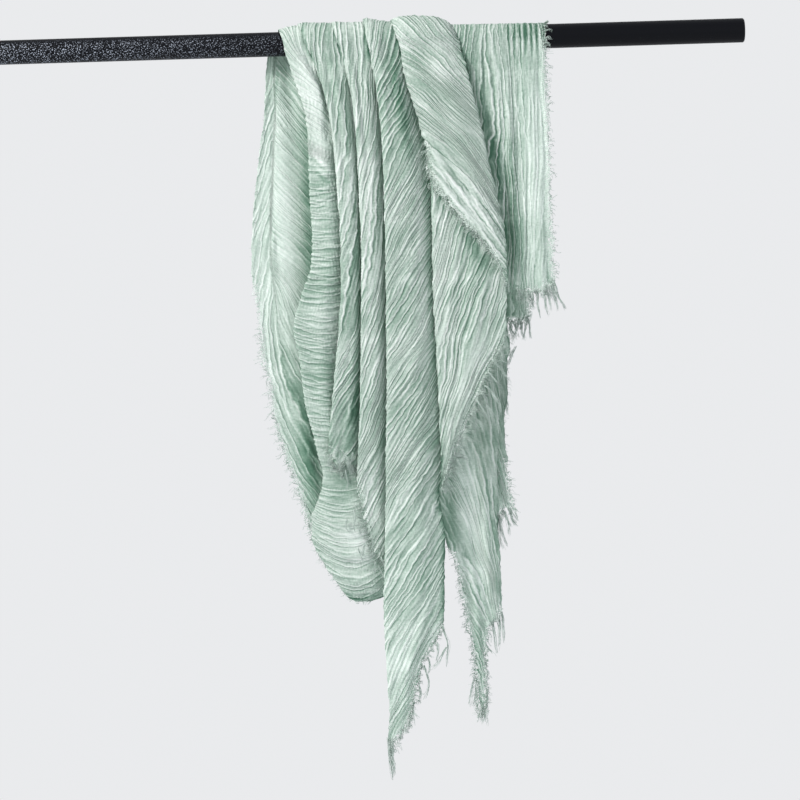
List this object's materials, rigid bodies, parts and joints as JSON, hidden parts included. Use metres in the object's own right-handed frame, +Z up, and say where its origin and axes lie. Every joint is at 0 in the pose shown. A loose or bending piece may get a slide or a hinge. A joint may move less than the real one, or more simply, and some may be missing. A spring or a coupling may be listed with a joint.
{
  "type": "crinkle hijab draped on a rod",
  "caption": "Frayed crinkled gauze hijab scarf thrown over a round rod, with a cowl and pleats on the left, a long pointed tail, a folded flap and a short flat fall.",
  "frame": {"origin": "on the rod's axis, above the middle of the drape", "axes": "+X along the rod to the right as seen from the front, +Z up, the front of the drape faces -Y"},
  "size_m": [0.785, 0.0623, 0.7731],
  "materials": {
    "gauze": "crinkled sage green cotton gauze, matt, slightly see-through, pale on the ridges and greener in the creases",
    "gauze_threads": "frayed cotton threads of the gauze, pale sage",
    "rod_paint": "black satin paint, lightly speckled with dust and small chips"
  },
  "bodies": {
    "root": {"rod": "rod_paint", "cowl": "gauze", "side_pleat": "gauze", "middle_pleat": "gauze", "long_tail": "gauze", "under_fall": "gauze", "flap": "gauze", "right_fall": "gauze", "cowl_selvedge_frays": "gauze_threads", "side_pleat_fringe": "gauze_threads", "middle_pleat_fringe": "gauze_threads", "long_tail_fringe": "gauze_threads", "long_tail_tip_threads": "gauze_threads", "under_fall_fringe": "gauze_threads", "short_tail_fringe": "gauze_threads", "short_tail_frays": "gauze_threads", "flap_selvedge_frays": "gauze_threads", "cascade_hem_fringe": "gauze_threads", "cascade_selvedge_frays": "gauze_threads", "right_fall_hem_fringe": "gauze_threads", "right_fall_selvedge_frays": "gauze_threads", "right_fall_back_fringe": "gauze_threads"}
  },
  "joints": []
}
